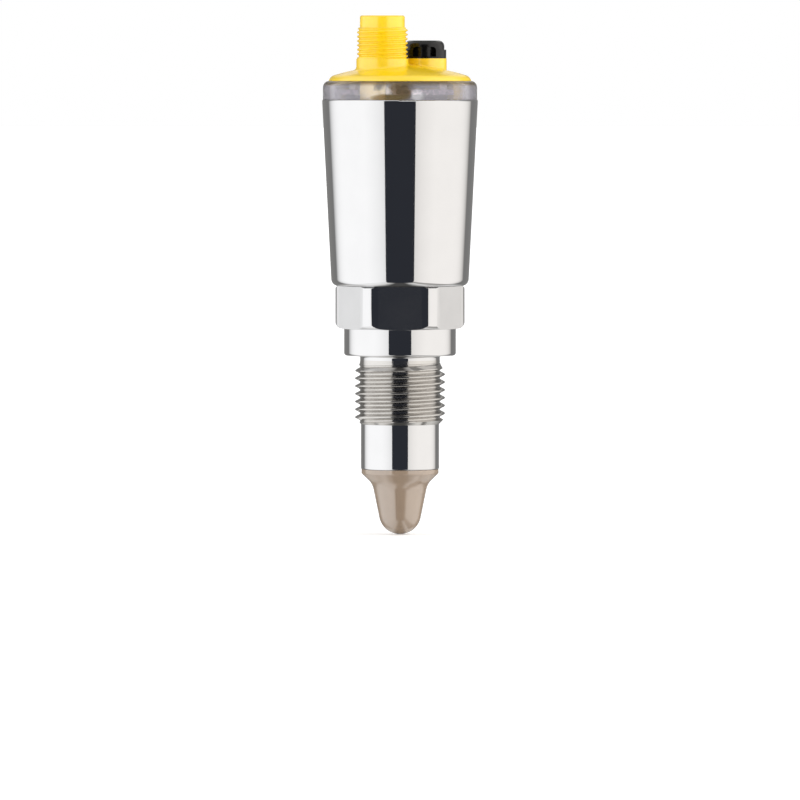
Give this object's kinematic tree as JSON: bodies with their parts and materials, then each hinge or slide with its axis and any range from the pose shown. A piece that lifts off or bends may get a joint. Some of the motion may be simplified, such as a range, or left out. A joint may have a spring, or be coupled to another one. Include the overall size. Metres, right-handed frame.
{
  "type": "impedance level switch",
  "caption": "Compact screw-in level switch with a probe tip, threaded fitting, hexagon, conical housing, clear light ring and a head with plug stub and vent.",
  "frame": {"origin": "centre of the seal face under the collar, on the thread's axis", "axes": "+Z along the thread's axis from the probe tip to the plug; the plug stub lies at -X and -Y of it; one flat of the hexagon faces -Y"},
  "size_m": [0.0362, 0.0362, 0.1209],
  "materials": {
    "stainless_steel": "polished",
    "clear_plastic": "clear moulded",
    "yellow_plastic": "satin moulded",
    "black_plastic": "moulded",
    "tan_plastic": "turned",
    "white_plastic": "moulded",
    "grey_plastic": "moulded",
    "gold_plated": "plated",
    "brass": "turned",
    "black_rubber": "moulded",
    "green_board": "lacquered",
    "aluminium_can": "drawn"
  },
  "bodies": {
    "root": {"process_fitting": "stainless_steel", "housing_shell": "stainless_steel", "light_ring": "clear_plastic", "head_cover": "yellow_plastic", "vent_cap": "black_plastic", "probe_tip": "tan_plastic", "vent_membrane": "white_plastic", "contact_insert": "black_plastic", "contact_pins": "gold_plated", "insert_seal": "black_rubber", "upper_ring_seal": "black_rubber", "lower_ring_seal": "black_rubber", "tip_seal_rings": "black_rubber", "led_board": "green_board", "main_board": "green_board", "sensing_board": "green_board", "status_leds": "white_plastic", "board_header": "black_plastic", "sensing_header": "black_plastic", "electronics_carrier": "grey_plastic", "processor_chip": "black_plastic", "sensing_chip": "black_plastic", "output_transistors": "black_plastic", "power_inductor": "grey_plastic", "board_capacitors": "aluminium_can", "sensor_electrode": "brass", "guard_electrode": "brass", "guard_contact": "gold_plated", "electrode_insulator": "white_plastic", "tip_locknut": "brass"}
  },
  "joints": []
}
